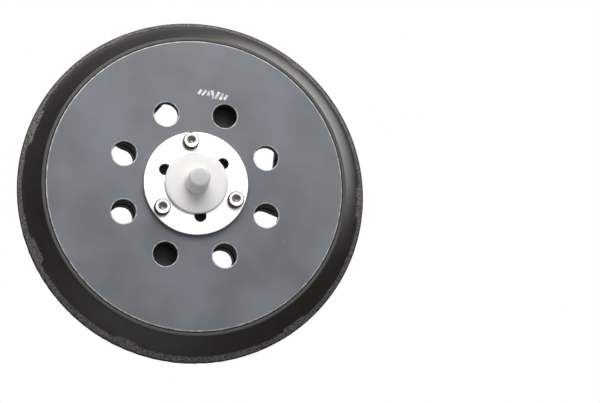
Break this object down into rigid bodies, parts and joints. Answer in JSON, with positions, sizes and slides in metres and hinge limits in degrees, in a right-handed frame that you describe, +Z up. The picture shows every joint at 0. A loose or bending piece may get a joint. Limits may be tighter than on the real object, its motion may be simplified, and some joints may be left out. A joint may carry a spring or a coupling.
{
  "type": "sander backing pad",
  "caption": "Round hook-and-loop backing pad of a random orbital sander: hook face with dust holes, foam body, backing plate, hub disc, centre screw and retaining nut.",
  "frame": {"origin": "centre of the hub disc's seat face, on the spindle axis", "axes": "+Y along the spindle axis towards the machine, so the hook face looks towards -Y; X runs through the first hub screw and the pair of radial slots, and Z is up"},
  "size_m": [0.15, 0.0311, 0.15],
  "materials": {
    "hook_fabric": "dark brown-grey knitted hook fabric, matte",
    "foam": "black moulded polyurethane foam with a satin skin, scuffed at the rim",
    "plate_plastic": "blue-grey moulded plastic, semi-matte",
    "hub_steel": "bright zinc-plated steel",
    "screw_steel": "stainless steel, turned",
    "insert_brass": "turned brass",
    "black_steel": "black oxide on steel, dull",
    "natural_nylon": "milky natural nylon, slightly translucent"
  },
  "bodies": {
    "pad": {"hook_face": "hook_fabric", "foam_pad": "foam", "backing_plate": "plate_plastic", "hub_disc": "hub_steel", "hub_screw_1": "screw_steel", "hub_screw_2": "screw_steel", "hub_screw_3": "screw_steel", "hub_insert_1": "insert_brass", "hub_insert_2": "insert_brass", "hub_insert_3": "insert_brass", "centre_bush": "screw_steel"},
    "washer": {"screw_washer": "hub_steel"},
    "screw": {"centre_screw": "black_steel"},
    "nut": {"retaining_nut": "natural_nylon"}
  },
  "joints": [
    {"name": "screw_pull_out", "type": "slide", "parent": "pad", "child": "washer", "axis": [0, -1, 0], "range_m": [0, 0.03]},
    {"name": "centre_screw_turn", "type": "hinge", "parent": "washer", "child": "screw", "pos_m": [0, -0.0124, 0], "axis": [0, -1, 0], "range_deg": [0, 4150]},
    {"name": "nut_travel", "type": "slide", "parent": "pad", "child": "nut", "axis": [0, 1, 0], "range_m": [0, 0.0115]}
  ],
  "couplings": [
    {"joint": "centre_screw_turn", "follows": "nut_travel", "rad_per_m": 6283.2}
  ]
}
